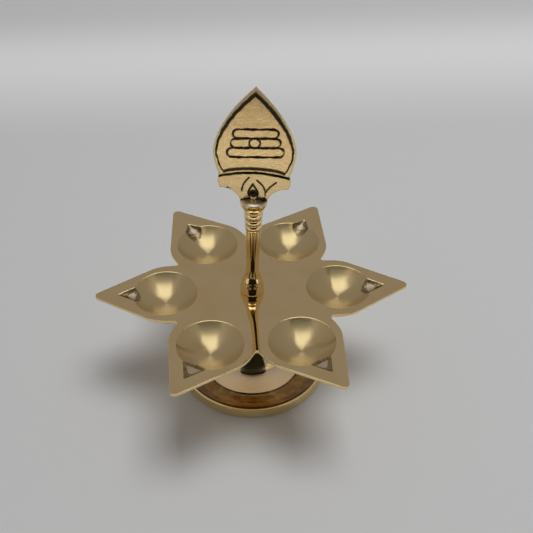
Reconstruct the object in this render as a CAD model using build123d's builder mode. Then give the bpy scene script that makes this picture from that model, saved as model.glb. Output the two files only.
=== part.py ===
from build123d import *
import os
from math import cos, radians, sin, tan

# Six-cup standing oil lamp in brass with a spearhead finial.
# Millimetres, +Z up. The origin is the centre of the foot on the table, the finial faces -Y
# and one petal of the tray points along +X.

# ---- tray ---------------------------------------------------------------------------------------
tray_top = 40.5               # height of the tray's upper face above the table
plate_thickness = 2.2
plate_edge_fillet = 0.18
plate_under_chamfer = 1.2     # thins the plate's edge from below
petal_count = 6
petal_corner = 61.2           # where a petal's two flanks would meet, from the lamp's axis
petal_tip_fillet = 1.9
shoulder_along = 36.1         # where a petal's side turns into its flank
shoulder_half_width = 15.65
shoulder_fillet = 14.0
notch_radius = 32.1           # lamp's axis to the corner between two petals
notch_fillet = 0.9
cup_ring_radius = 33.0
cup_rim_radius = 12.3
cup_depth = 5.3
cup_wall = 1.8
wick_groove_length = 6.0      # from the cup's rim out to the groove's point
wick_groove_reach = 9.0       # height of the cone that cuts the groove
wick_groove_half_angle = 38.0
wick_groove_tilt = 22.2       # rise of the cone's axis towards the cup

# ---- pedestal, radii and heights above the table ------------------------------------------------
foot_radius = 29.3
foot_ring_inner_radius = 26.6
rim_radius = 29.1
rim_height = 4.0
rim_land = 0.8
moat_radius = 23.6
moat_floor = 1.95
moat_inner_height = 2.3
moat_ceiling = 0.8            # height of the hollow's roof under the moat
bell_edge_radius = 19.3
bell_edge_height = 3.0
neck_radius = 6.1
neck_height = 29.5
seat_radius = 9.0
seat_thickness = 2.0
web_height = 17.5             # underside of the web that the washer bears on
web_recess_radius = 5.8

# ---- stem, heights above the tray ---------------------------------------------------------------
foot_radius_on_tray = 4.15
foot_bead_radius = 4.6
foot_bead_widest = 1.3
valley_radius = 3.9           # shallow turned valley between the foot bead and the bell
valley_height = 4.65
waist_radius = 2.42
waist_height = 11.7
shaft_top_radius = 2.7
shaft_height = 29.5
ring_tops = (31.8, 34.2, 37.2, 38.7)
ring_groove_radii = (2.78, 2.93, 3.2, 3.4)   # radius of the groove above each ring
ring_bulge = 0.3
collar_radius = 4.95
collar_edge_height = 42.65    # where the flared collar turns over into its domed top
stem_height = 43.35

# ---- spearhead blade, heights above the top of the collar ---------------------------------------
blade_thickness = 2.3
blade_height = 42.25
blade_tip_fillet = 0.8
blade_half_width = 14.1
blade_widest = 17.5
waistline_half_width = 12.05
waistline_height = 8.9
lobe_half_width = 12.5
blade_foot_half_width = 4.95
foot_slot_depth = 2.0         # saw slot across the collar that the foot of the blade stands in
foot_slot_half_width = 4.5    # half width of the blade at the bottom of the slot
tenon_width = 6.0
tenon_thickness = 1.6
tenon_depth = 4.5             # below the top of the collar
solder_gap = 0.04
engraving_depth = 0.4
border_inset = 1.0
border_groove_width = 0.8
bar_groove_width = 0.45
bar_gap = 0.2                 # plain strip left between two bars
bar_base = 17.15              # lower edge of the lowest of the three bars
bar_height = 3.6
bar_widths = (19.1, 16.6, 15.1)
medallion_radius = 1.75
medallion_groove_width = 0.35
waistline_arch = 1.85         # rise of the waistline in the middle of the blade
waistline_groove_width = 0.9
drop_ball_radius = 1.2
drop_ball_height = 1.35       # centre of the ball above the collar

# ---- fasteners ----------------------------------------------------------------------------------
rod_radius = 2.0              # M4
running_clearance = 0.05
rod_engagement = 6.5          # length of rod screwed into the bulb
rod_end = 9.5                 # height of the rod's lower end above the table
rod_chamfer = 0.4
washer_radius = 4.5
washer_thickness = 1.0
nut_width_across_flats = 7.0
nut_height = 3.2
nut_chamfer_radius = 3.75     # radius of the flat ring left on each end face of the nut

# ---- derived places -----------------------------------------------------------------------------
plate_underside = tray_top - plate_thickness
bore_radius = rod_radius + running_clearance
cup_sphere_radius = (cup_rim_radius**2 + cup_depth**2) / (2 * cup_depth)
cup_sphere_height = tray_top - cup_depth + cup_sphere_radius
collar_top = tray_top + stem_height
washer_top = web_height
nut_top = web_height - washer_thickness


def petal_corners(index):
    """Corners of one petal: its first notch, shoulder, tip and second shoulder."""
    turn = radians(index * 360 / petal_count)
    notch_turn = radians(180 / petal_count)
    corners = [
        (notch_radius * cos(notch_turn), -notch_radius * sin(notch_turn)),
        (shoulder_along, -shoulder_half_width),
        (petal_corner, 0),
        (shoulder_along, shoulder_half_width),
    ]
    return [(x * cos(turn) - y * sin(turn), x * sin(turn) + y * cos(turn)) for x, y in corners]


# ---- pedestal: one turned casting, hollow from below --------------------------------------------
with BuildPart() as pedestal_base:
    with BuildSketch(Plane.XZ):
        with BuildLine():
            foot = Polyline(
                (foot_ring_inner_radius, 0),
                (foot_radius, 0),
                (rim_radius, rim_height),
                (rim_radius - rim_land, rim_height),
            )
            moat = ThreePointArc(
                foot @ 1,
                (moat_radius, moat_floor),
                (bell_edge_radius + 0.2, moat_inner_height),
            )
            bell_edge = Line(moat @ 1, (bell_edge_radius, bell_edge_height))
            bell = Spline(
                bell_edge @ 1,
                (14.0, 5.2),
                (12.1, 6.4),
                (11.2, 8.0),
                (9.3, 12.5),
                (7.1, 18.3),
                (6.3, 23.5),
                (neck_radius, neck_height),
                tangents=[(-1.0, 0.34), (-0.05, 1.0)],
            )
            seat_flare = Spline(
                bell @ 1,
                (seat_radius, plate_underside - seat_thickness),
                tangents=[(-0.05, 1.0), (1.0, 0.25)],
            )
            web = Polyline(
                seat_flare @ 1,
                (seat_radius, plate_underside),
                (bore_radius, plate_underside),
                (bore_radius, web_height),
                (web_recess_radius, web_height),
            )
            hollow = Spline(
                web @ 1,
                (7.6, 13.0),
                (9.4, 8.6),
                (11.8, 4.9),
                (17.3, moat_ceiling + 0.8),
                tangents=[(0.3, -1.0), (1.0, -0.3)],
            )
            Polyline(
                hollow @ 1,
                (18.3, moat_ceiling),
                (foot_ring_inner_radius - 0.4, moat_ceiling),
                foot @ 0,
            )
        make_face()
    revolve(axis=Axis.Z)

# ---- tray: six petals, cups that hang below the plate, and a wick groove in each petal ----------
with BuildPart() as lamp_tray:
    with PolarLocations(0, petal_count):
        with Locations((cup_ring_radius, 0, cup_sphere_height)):
            Sphere(cup_sphere_radius + cup_wall)
    split(bisect_by=Plane.XY.offset(plate_underside + plate_thickness / 2), keep=Keep.BOTTOM)
    with BuildSketch(Plane.XY.offset(plate_underside)) as plate_outline:
        with BuildLine():
            outline_corners = [c for index in range(petal_count) for c in petal_corners(index)]
            Polyline(*outline_corners, close=True)
        make_face()
        fillet(plate_outline.vertices().group_by(SortBy.DISTANCE)[-1], petal_tip_fillet)
        fillet(plate_outline.vertices().group_by(SortBy.DISTANCE)[1], shoulder_fillet)
        fillet(plate_outline.vertices().group_by(SortBy.DISTANCE)[0], notch_fillet)
    extrude(amount=plate_thickness)
    fillet(lamp_tray.faces().sort_by(Axis.Z)[-1].edges(), plate_edge_fillet)
    plate_bottom = lamp_tray.faces().filter_by(Axis.Z).filter_by_position(
        Axis.Z, plate_underside - 0.01, plate_underside + 0.01
    )
    chamfer(plate_bottom.sort_by(SortBy.AREA)[-1].outer_wire().edges(), plate_under_chamfer)
    groove_point = cup_ring_radius + cup_rim_radius + wick_groove_length
    groove_tilt = radians(wick_groove_tilt)
    groove_plane = Plane(
        origin=(groove_point, 0, tray_top),
        z_dir=(cos(groove_tilt), 0, -sin(groove_tilt)),
    )
    groove_mouth_radius = wick_groove_reach * tan(radians(wick_groove_half_angle))
    with PolarLocations(0, petal_count):
        with Locations((cup_ring_radius, 0, cup_sphere_height)):
            Sphere(cup_sphere_radius, mode=Mode.SUBTRACT)
        with Locations(groove_plane):
            Cone(
                groove_mouth_radius,
                0,
                wick_groove_reach,
                align=(Align.CENTER, Align.CENTER, Align.MAX),
                mode=Mode.SUBTRACT,
            )
    with Locations((0, 0, tray_top)):
        Hole(bore_radius)

# ---- stem: foot bead, bulb, waisted shaft, four rings and a flared collar with a slot ------------
with BuildPart() as stem:
    with BuildSketch(Plane.XZ):
        with BuildLine():
            foot_bead = Spline(
                (foot_radius_on_tray, tray_top),
                (foot_bead_radius, tray_top + foot_bead_widest),
                (4.33, tray_top + 3.2),
                (valley_radius, tray_top + valley_height),
                tangents=[(1.0, 1.0), (-0.35, 1.0)],
            )
            bell = Spline(
                foot_bead @ 1,
                (3.86, tray_top + 5.2),
                (3.6, tray_top + 6.1),
                (3.12, tray_top + 7.5),
                (2.72, tray_top + 9.2),
                (waist_radius, tray_top + waist_height),
                tangents=[(0.05, 1.0), (0.0, 1.0)],
            )
            shaft = Spline(
                bell @ 1,
                (shaft_top_radius, tray_top + shaft_height),
                tangents=[(0.0, 1.0), (0.02, 1.0)],
            )
            ring_start = shaft @ 1
            ring_base, base_radius = shaft_height, shaft_top_radius
            for ring_top, groove_radius in zip(ring_tops, ring_groove_radii):
                ring_arc = ThreePointArc(
                    ring_start,
                    ((base_radius + groove_radius) / 2 + ring_bulge, tray_top + (ring_base + ring_top) / 2),
                    (groove_radius, tray_top + ring_top),
                )
                ring_start = ring_arc @ 1
                ring_base, base_radius = ring_top, groove_radius
            collar = Spline(
                ring_start,
                (4.2, tray_top + 39.6),
                (4.75, tray_top + 41.0),
                (collar_radius, tray_top + collar_edge_height),
                tangents=[(1.0, 0.75), (0.05, 1.0)],
            )
            dome = Spline(
                collar @ 1,
                (4.75, collar_top - 0.43),
                (3.2, collar_top - 0.16),
                (0, collar_top),
                tangents=[(-0.2, 1.0), (-1.0, 0.0)],
            )
            Polyline(
                dome @ 1,
                (0, tray_top),
                foot_bead @ 0,
            )
        make_face()
    revolve(axis=Axis.Z)
    with Locations((0, 0, tray_top)):
        Cylinder(
            rod_radius + solder_gap / 2,
            rod_engagement,
            align=(Align.CENTER, Align.CENTER, Align.MIN),
            mode=Mode.SUBTRACT,
        )
    with Locations((0, 0, collar_top)):
        Box(
            tenon_width + 2 * solder_gap,
            tenon_thickness + 2 * solder_gap,
            tenon_depth + solder_gap,
            align=(Align.CENTER, Align.CENTER, Align.MAX),
            mode=Mode.SUBTRACT,
        )
        Box(
            2 * collar_radius + 2.0,
            blade_thickness + 2 * solder_gap,
            foot_slot_depth,
            align=(Align.CENTER, Align.CENTER, Align.MAX),
            mode=Mode.SUBTRACT,
        )

# ---- spearhead blade: flat plate, engraved on its front, with a tenon below ----------------------
front_face = Plane.XZ.offset(blade_thickness / 2)


def draw_band_edge():
    """Draw the right-hand edge of the blade's lower band, from its foot to the waistline."""
    foot_sweep = ThreePointArc(
        (blade_foot_half_width, collar_top),
        (7.3, collar_top + 2.9),
        (11.8, collar_top + 4.3),
    )
    ThreePointArc(
        foot_sweep @ 1,
        (lobe_half_width, collar_top + 5.9),
        (waistline_half_width, collar_top + waistline_height),
    )


def draw_leaf_edge(inset=0.0):
    """Draw the right-hand edge of the blade's leaf from the waistline to its tip, or a line inset from it."""
    cheek = ThreePointArc(
        (waistline_half_width - inset, collar_top + waistline_height + inset),
        (13.2 - inset, collar_top + 12.65),
        (blade_half_width - inset, collar_top + blade_widest),
    )
    Spline(
        cheek @ 1,
        (11.5 - 0.9 * inset, collar_top + 27.2 - 0.42 * inset),
        (6.2 - 0.8 * inset, collar_top + 35.6 - 0.6 * inset),
        (0, collar_top + blade_height - 1.45 * inset),
        tangents=[(0.0, 1.0), (-1.0, 0.95)],
    )


def draw_waist_arch(rise, reach):
    """Draw the right-hand half of the arch along the waistline, lifted by the rise and as wide as the reach."""
    return TangentArc(
        (0, collar_top + waistline_height + waistline_arch + rise),
        (reach, collar_top + waistline_height + rise),
        tangent=(1, 0),
    )


def inset_leaf(inset):
    """The leaf above the waistline as a face, drawn in by the inset."""
    with BuildSketch() as leaf:
        with BuildLine():
            draw_leaf_edge(inset)
            waist_arch = draw_waist_arch(inset, waistline_half_width - inset)
            Line(waist_arch @ 0, (0, collar_top + blade_height - 1.45 * inset))
        make_face()
        mirror(about=Plane.YZ)
    return leaf.sketch


border_outer_leaf = inset_leaf(border_inset)
border_inner_leaf = inset_leaf(border_inset + border_groove_width)

with BuildSketch() as waist_band_sketch:
    with BuildLine():
        arch_top = draw_waist_arch(0.5 * waistline_groove_width, blade_half_width)
        arch_bottom = draw_waist_arch(-0.5 * waistline_groove_width, blade_half_width)
        Line(arch_top @ 0, arch_bottom @ 0)
        Line(arch_top @ 1, arch_bottom @ 1)
    make_face()
    mirror(about=Plane.YZ)
waist_band = waist_band_sketch.sketch

with BuildPart() as vel_blade:
    with BuildSketch(Plane.XZ) as blade_outline:
        with BuildLine():
            draw_band_edge()
            draw_leaf_edge()
            Polyline(
                (blade_foot_half_width, collar_top),
                (foot_slot_half_width, collar_top - foot_slot_depth),
                (0, collar_top - foot_slot_depth),
                (0, collar_top + blade_height),
            )
        make_face()
        mirror(about=Plane.YZ)
        fillet(blade_outline.vertices().sort_by(Axis.Y)[-1], blade_tip_fillet)
    extrude(amount=blade_thickness / 2, both=True)
    with Locations((0, 0, collar_top)):
        Box(
            tenon_width,
            tenon_thickness,
            tenon_depth,
            align=(Align.CENTER, Align.CENTER, Align.MAX),
        )
    # engraving: border groove, arched waistline, three bars with a medallion, all to one depth
    with BuildSketch(front_face):
        add(border_outer_leaf)
        add(border_inner_leaf, mode=Mode.SUBTRACT)
        add(waist_band)
        for bar, bar_width in enumerate(bar_widths):
            with Locations((0, collar_top + bar_base + bar_height * (bar + 0.5))):
                SlotOverall(bar_width, bar_height - bar_gap)
                SlotOverall(
                    bar_width - 2 * bar_groove_width,
                    bar_height - bar_gap - 2 * bar_groove_width,
                    mode=Mode.SUBTRACT,
                )
        with Locations((0, collar_top + bar_base + 1.5 * bar_height)):
            Circle(medallion_radius)
            Circle(medallion_radius - medallion_groove_width, mode=Mode.SUBTRACT)
    extrude(amount=-engraving_depth, mode=Mode.SUBTRACT)
    # the ball at the foot of the drop ornament
    with Locations((0, -blade_thickness / 2, collar_top + drop_ball_height)):
        Sphere(drop_ball_radius)

# ---- fasteners: threaded rod, washer and nut -----------------------------------------------------
with BuildPart() as tie_rod:
    with Locations((0, 0, rod_end)):
        Cylinder(
            rod_radius,
            tray_top + rod_engagement - rod_end - solder_gap,
            align=(Align.CENTER, Align.CENTER, Align.MIN),
        )
    chamfer(tie_rod.edges().filter_by(GeomType.CIRCLE), rod_chamfer)

with BuildPart() as clamp_washer:
    with BuildSketch(Plane.XY.offset(washer_top - washer_thickness)):
        Circle(washer_radius)
        Circle(bore_radius, mode=Mode.SUBTRACT)
    extrude(amount=washer_thickness)

with BuildPart() as clamp_nut:
    with BuildSketch(Plane.XY.offset(nut_top - nut_height)):
        RegularPolygon(nut_width_across_flats / 2, 6, major_radius=False)
    extrude(amount=nut_height)
    with BuildSketch(Plane.XZ):
        with BuildLine():
            corner_radius = nut_width_across_flats / 2 / cos(radians(30)) + 0.1
            corner_drop = (corner_radius - nut_chamfer_radius) * tan(radians(30))
            Polyline(
                (0, nut_top - nut_height),
                (nut_chamfer_radius, nut_top - nut_height),
                (corner_radius, nut_top - nut_height + corner_drop),
                (corner_radius, nut_top - corner_drop),
                (nut_chamfer_radius, nut_top),
                (0, nut_top),
                close=True,
            )
        make_face()
    revolve(axis=Axis.Z, mode=Mode.INTERSECT)
    with Locations((0, 0, nut_top)):
        Hole(bore_radius)

# ---- one STEP file per piece --------------------------------------------------------------------
os.makedirs("parts", exist_ok=True)

pedestal_base.part.label = "pedestal_base"
export_step(pedestal_base.part, "parts/pedestal_base.step")

lamp_tray.part.label = "lamp_tray"
export_step(lamp_tray.part, "parts/lamp_tray.step")

stem.part.label = "stem"
export_step(stem.part, "parts/stem.step")

vel_blade.part.label = "vel_blade"
export_step(vel_blade.part, "parts/vel_blade.step")

tie_rod.part.label = "tie_rod"
export_step(tie_rod.part, "parts/tie_rod.step")

clamp_washer.part.label = "clamp_washer"
export_step(clamp_washer.part, "parts/clamp_washer.step")

clamp_nut.part.label = "clamp_nut"
export_step(clamp_nut.part, "parts/clamp_nut.step")
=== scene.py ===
import math

import bmesh
import bpy
import numpy as np
from mathutils import Matrix, Vector


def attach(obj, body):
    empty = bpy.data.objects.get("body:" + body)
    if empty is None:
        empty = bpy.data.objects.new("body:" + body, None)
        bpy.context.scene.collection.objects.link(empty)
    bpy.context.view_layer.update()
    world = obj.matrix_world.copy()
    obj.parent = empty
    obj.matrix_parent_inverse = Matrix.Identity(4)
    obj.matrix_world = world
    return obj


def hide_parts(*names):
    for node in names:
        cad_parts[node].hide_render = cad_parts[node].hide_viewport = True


# Six-cup brass standing oil lamp on its table. The meshes are worked out in millimetres, in the lamp's
# own frame: +Z up, origin at the centre of the foot, the spearhead faces -Y.
MM = 0.001

# ---- sizes shared with the CAD ------------------------------------------------------------------
TRAY_TOP = 40.5
PLATE_THICKNESS = 2.2
PLATE_EDGE_ROUND = 0.18
PETALS = 6
PETAL_CORNER = 61.2
TIP_FILLET = 1.9
SHOULDER = (36.1, 15.65)
SHOULDER_FILLET = 14.0
NOTCH_RADIUS = 32.1
NOTCH_FILLET = 0.9
CUP_RING_RADIUS = 33.0
CUP_RIM_RADIUS = 12.3
CUP_DEPTH = 5.3
CUP_WALL = 1.8
CUP_SPHERE = (CUP_RIM_RADIUS**2 + CUP_DEPTH**2) / (2 * CUP_DEPTH)
CUP_CENTRE_HEIGHT = CUP_SPHERE - CUP_DEPTH
GROOVE_POINT = CUP_RING_RADIUS + CUP_RIM_RADIUS + 6.0
GROOVE_HALF_ANGLE = 38.0
GROOVE_TILT = 22.2
GROOVE_REACH = 10.5
BACK_PETALS = (1, 2)
BACK_GROOVE_SHORTER = 2.2
BACK_GROOVE_WIDER = 6.0            # degrees
BORE_RADIUS = 2.05
WEB_RECESS = 5.8
STEM_HEIGHT = 43.35
COLLAR_TOP = TRAY_TOP + STEM_HEIGHT
ROD_RADIUS = 2.0
ROD_END = 9.5
ROD_TOP = TRAY_TOP + 6.46
BLADE_HALF_THICKNESS = 1.15
BLADE_HEIGHT = 42.25
UNDER_CHAMFER = 1.2

# ---- how the photographed lamp differs from a perfect one ---------------------------------------
STEM_LEAN = math.radians(1.0)      # the stem leans a little to the right
BLADE_YAW = math.radians(-6.5)     # and its blade is soldered on a little askew
TIP_ROUND = 0.5
RIDGE_HEIGHT = 0.15                # low crown of the plate between the two front cups
RIDGE_WIDTH = 3.2
RIDGE_SHIFT = 1.0
BURR_RISE = 0.46                   # the raised burr's centre above the engraved line


# ---- curves -------------------------------------------------------------------------------------
def arc_through(a, b, c, steps):
    """Points of the circular arc from a through b to c."""
    a, b, c = (np.array(p, float) for p in (a, b, c))
    m = 2.0 * np.array([b - a, c - a])
    centre = np.linalg.solve(m, [b @ b - a @ a, c @ c - a @ a])
    radius = np.linalg.norm(a - centre)
    turn = [math.atan2(*(p - centre)[::-1]) for p in (a, b, c)]
    way = 1.0 if (turn[1] - turn[0]) % math.tau < (turn[2] - turn[0]) % math.tau else -1.0
    sweep = way * ((way * (turn[2] - turn[0])) % math.tau)
    angles = turn[0] + sweep * np.linspace(0.0, 1.0, steps)
    return centre + radius * np.stack([np.cos(angles), np.sin(angles)], 1)


def smooth_through(points, steps, start=None, end=None):
    """A smooth cubic curve through the points, with given directions at its ends."""
    p = np.array(points, float)
    n = len(p)
    h = np.linalg.norm(np.diff(p, axis=0), axis=1)
    a = np.zeros((n, n))
    rhs = np.zeros((n, 2))
    for i in range(1, n - 1):
        a[i, i - 1 : i + 2] = h[i], 2.0 * (h[i - 1] + h[i]), h[i - 1]
        rhs[i] = 3.0 * (h[i] / h[i - 1] * (p[i] - p[i - 1]) + h[i - 1] / h[i] * (p[i + 1] - p[i]))
    for row, near, way, i in ((0, 1, start, 0), (n - 1, n - 2, end, n - 2)):
        if way is None:
            a[row, row], a[row, near] = 2.0, 1.0
            rhs[row] = 3.0 * (p[i + 1] - p[i]) / h[i]
        else:
            a[row, row] = 1.0
            rhs[row] = np.array(way, float) / np.linalg.norm(way)
    m = np.linalg.solve(a, rhs)
    out = []
    for i in range(n - 1):
        t = np.linspace(0.0, 1.0, steps, endpoint=False)[:, None]
        out.append(
            (2 * t**3 - 3 * t**2 + 1) * p[i]
            + (t**3 - 2 * t**2 + t) * h[i] * m[i]
            + (3 * t**2 - 2 * t**3) * p[i + 1]
            + (t**3 - t**2) * h[i] * m[i + 1]
        )
    out.append(p[-1:])
    return np.concatenate(out)


def straight(a, b, steps=2):
    """Points along a straight line."""
    t = np.linspace(0.0, 1.0, steps)[:, None]
    return (1 - t) * np.array(a, float) + t * np.array(b, float)


def join_rounded(curves, radii):
    """Joins curves end to end, easing each joint over the given length."""
    line = np.array(curves[0], float)
    for curve, radius in zip(curves[1:], radii):
        line, corner, rest = trim(line, radius, True), line[-1], trim(np.array(curve, float), radius, False)
        t = np.linspace(0.0, 1.0, 7)[1:-1, None]
        bend = (1 - t) ** 2 * line[-1] + 2 * t * (1 - t) * corner + t**2 * rest[0]
        line = np.concatenate([line, bend, rest])
    return line


def trim(line, length, at_end):
    """The line with a length cut off one end."""
    if at_end:
        return trim(line[::-1], length, False)[::-1]
    run = np.concatenate([[0.0], np.cumsum(np.linalg.norm(np.diff(line, axis=0), axis=1))])
    length = min(length, 0.45 * run[-1])
    first = np.array([[np.interp(length, run, line[:, k]) for k in range(2)]])
    return np.concatenate([first, line[run > length + 1e-4]])


def smoothstep(edge0, edge1, x):
    t = np.clip((x - edge0) / (edge1 - edge0), 0.0, 1.0)
    return t * t * (3.0 - 2.0 * t)


def smooth_min(a, b, k):
    h = np.clip(0.5 + 0.5 * (b - a) / k, 0.0, 1.0)
    return b * (1 - h) + a * h - k * h * (1 - h)


# ---- meshes -------------------------------------------------------------------------------------
def new_piece(name, vertices, faces, material, merge=0.0):
    """A mesh object in metres from points in millimetres, shaded smooth, with its normals outward."""
    mesh = bpy.data.meshes.new(name)
    mesh.from_pydata((np.asarray(vertices, float) * MM).tolist(), [], faces)
    bm = bmesh.new()
    bm.from_mesh(mesh)
    if merge:
        bmesh.ops.remove_doubles(bm, verts=bm.verts, dist=merge * MM)
    bmesh.ops.recalc_face_normals(bm, faces=bm.faces)
    bm.to_mesh(mesh)
    bm.free()
    mesh.shade_smooth()
    mesh.materials.append(material)
    piece = bpy.data.objects.new(name, mesh)
    bpy.context.scene.collection.objects.link(piece)
    return piece


def lean(piece):
    """Leans a piece of the spindle to the right about the stem's foot on the tray."""
    foot = Matrix.Translation((0.0, 0.0, TRAY_TOP * MM))
    piece.data.transform(foot @ Matrix.Rotation(STEM_LEAN, 4, "Y") @ foot.inverted())


def set_askew(piece):
    """Turns a piece of the blade about the lamp's axis, then leans it with the stem."""
    piece.data.transform(Matrix.Rotation(BLADE_YAW, 4, "Z"))
    lean(piece)


def points_of(piece):
    """Vertex places of a piece, in millimetres."""
    flat = np.zeros(len(piece.data.vertices) * 3)
    piece.data.vertices.foreach_get("co", flat)
    return flat.reshape(-1, 3) / MM


def store(piece, name, values):
    """Keeps a number or a vector on every vertex, for the material to read."""
    kind, field = ("FLOAT", "value") if values.ndim == 1 else ("FLOAT_VECTOR", "vector")
    attribute = piece.data.attributes.new(name, kind, "POINT")
    attribute.data.foreach_set(field, values.astype(np.float32).ravel())


def ring_faces(rows, columns, closed_rows=False):
    """Quads between rows of points that each close on themselves."""
    faces = []
    for i in range(rows if closed_rows else rows - 1):
        a, b = i * columns, ((i + 1) % rows) * columns
        for j in range(columns):
            k = (j + 1) % columns
            faces.append((a + j, a + k, b + k, b + j))
    return faces


def lathe(name, profile, segments, material, closed=False):
    """Turns a profile of (radius, height) points about the lamp's axis."""
    turn = np.linspace(0.0, math.tau, segments, endpoint=False)
    profile = np.asarray(profile, float)
    r, z = np.repeat(profile[:, :1], segments, 1), np.repeat(profile[:, 1:], segments, 1)
    points = np.stack([r * np.cos(turn), r * np.sin(turn), z], 2).reshape(-1, 3)
    piece = new_piece(name, points, ring_faces(len(profile), segments, closed), material, merge=1e-4)
    store_lathe_marks(piece)
    return piece


def capped_faces(rows, columns):
    """Quads between rows of points that each close on themselves, with a cap over either end."""
    last = (rows - 1) * columns
    caps = [tuple(range(columns))[::-1], tuple(range(last, last + columns))]
    return ring_faces(rows, columns) + caps


def store_lathe_marks(piece):
    """The direction of the turning marks, round the lamp's axis."""
    p = points_of(piece)
    radius = np.maximum(np.hypot(p[:, 0], p[:, 1]), 1e-6)
    store(piece, "marks", np.stack([-p[:, 1] / radius, p[:, 0] / radius, 0 * radius], 1))


# ---- materials ----------------------------------------------------------------------------------
class Nodes:
    """Small helper for building one shader node tree."""

    def __init__(self, tree):
        self.tree = tree

    def add(self, kind, inputs=None, **settings):
        node = self.tree.nodes.new(kind)
        for key, value in settings.items():
            setattr(node, key, value)
        for key, value in (inputs or {}).items():
            self.feed(node.inputs[key], value)
        return node

    def feed(self, socket, value):
        if isinstance(value, bpy.types.NodeSocket):
            self.tree.links.new(value, socket)
        else:
            socket.default_value = value

    def math(self, operation, *values, clamp=False):
        node = self.add("ShaderNodeMath", operation=operation, use_clamp=clamp)
        for socket, value in zip(node.inputs, values):
            self.feed(socket, value)
        return node.outputs[0]

    def ramp(self, value, low, high, out_low=0.0, out_high=1.0):
        node = self.add("ShaderNodeMapRange", interpolation_type="SMOOTHSTEP")
        keys = ("Value", "From Min", "From Max", "To Min", "To Max")
        for key, v in zip(keys, (value, low, high, out_low, out_high)):
            self.feed(node.inputs[key], v)
        return node.outputs[0]

    def mix(self, factor, a, b):
        node = self.add("ShaderNodeMix", data_type="RGBA")
        self.feed(node.inputs[0], factor)
        self.feed(node.inputs[6], a)
        self.feed(node.inputs[7], b)
        return node.outputs[2]

    def noise(self, vector, scale, detail=2.0, roughness=0.5):
        inputs = {"Vector": vector, "Scale": scale, "Detail": detail, "Roughness": roughness}
        return self.add("ShaderNodeTexNoise", inputs).outputs[0]

    def stretched(self, vector, amounts):
        return self.add("ShaderNodeVectorMath", {0: vector, 1: amounts}, operation="MULTIPLY").outputs[0]

    def attribute(self, name, output="Fac"):
        return self.add("ShaderNodeAttribute", attribute_name=name).outputs[output]

    def bump(self, height, distance, strength=1.0, normal=None):
        inputs = {"Height": height, "Distance": distance, "Strength": strength}
        if normal is not None:
            inputs["Normal"] = normal
        return self.add("ShaderNodeBump", inputs).outputs[0]

    def metal(self, colour, roughness, normal, anisotropy=0.0):
        """Shader of bare metal; anisotropy spreads its reflections across the turning marks."""
        inputs = {"Base Color": colour, "Metallic": 1.0, "Roughness": roughness, "Normal": normal}
        if anisotropy > 0.0:
            inputs["Anisotropic"] = anisotropy
            inputs["Anisotropic Rotation"] = 0.25
            inputs["Tangent"] = marks_direction(self)
        return self.add("ShaderNodeBsdfPrincipled", inputs).outputs[0]


def new_material(name):
    material = bpy.data.materials.new(name)
    material.use_nodes = True
    material.node_tree.nodes.clear()
    nodes = Nodes(material.node_tree)
    output = nodes.add("ShaderNodeOutputMaterial")
    place = nodes.add("ShaderNodeTexCoord").outputs["Object"]
    return material, nodes, output.inputs["Surface"], place


def marks_direction(nodes):
    """World direction of the turning marks stored on the mesh."""
    stored = nodes.attribute("marks", "Vector")
    turned = nodes.add("ShaderNodeVectorTransform", {0: stored}, vector_type="VECTOR")
    turned.convert_from = "OBJECT"
    turned.convert_to = "WORLD"
    return turned.outputs[0]


BRASS = (0.90, 0.715, 0.385, 1.0)
BRASS_DEEP = (0.80, 0.58, 0.27, 1.0)
BRASS_YELLOW = (0.92, 0.73, 0.40, 1.0)
# painted reflection: paler brass standing for the bright light the bell mirrors
BRASS_PAINTED_REFLECTION = (0.95, 0.79, 0.60, 1.0)
BRASS_CUP = (0.84, 0.675, 0.36, 1.0)
BRASS_CAST = (0.80, 0.68, 0.50, 1.0)
PATINA = (0.060, 0.043, 0.024, 1.0)


def brass_colour(nodes, place, scale=90.0):
    """Brass with faint warmer and paler clouds."""
    cloud = nodes.ramp(nodes.noise(place, scale, 3.0), 0.35, 0.75)
    share = nodes.math("MULTIPLY", cloud, 0.35)
    return nodes.mix(share, BRASS, BRASS_DEEP)


def lathe_rings(nodes, place, density):
    """Fine uneven turning rings: noise that changes only along the turned profile."""
    x, y, z = nodes.add("ShaderNodeSeparateXYZ", {0: place}).outputs
    squares = nodes.math("ADD", nodes.math("MULTIPLY", x, x), nodes.math("MULTIPLY", y, y))
    radius = nodes.math("SQRT", squares)
    along = nodes.add("ShaderNodeCombineXYZ", {"X": radius, "Y": z}).outputs[0]
    return nodes.noise(along, density, 4.0, 0.65)


def stem_brass():
    """Polished brass with turning marks round the lamp's axis; the collar's domed top is satin and painted
    paler as a highlight.
    """
    material, nodes, surface, place = new_material("stem_brass")
    on_dome = nodes.attribute("on_dome")
    rings = lathe_rings(nodes, place, 2200.0)
    smudge = nodes.noise(place, 140.0, 4.0, 0.6)
    level = nodes.ramp(smudge, 0.3, 0.75, 0.068, 0.10)
    colour = nodes.mix(nodes.ramp(smudge, 0.4, 0.8, 0.0, 0.2), BRASS_YELLOW, BRASS_DEEP)
    # painted highlight: the domed top is tinted pale for the bright light it catches
    colour = nodes.mix(on_dome, colour, (1.0, 0.88, 0.66, 1.0))
    level = nodes.math("ADD", level, nodes.math("MULTIPLY", on_dome, 0.24))
    nodes.feed(surface, nodes.metal(colour, level, nodes.bump(rings, 0.002 * MM), 0.3))
    return material


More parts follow.
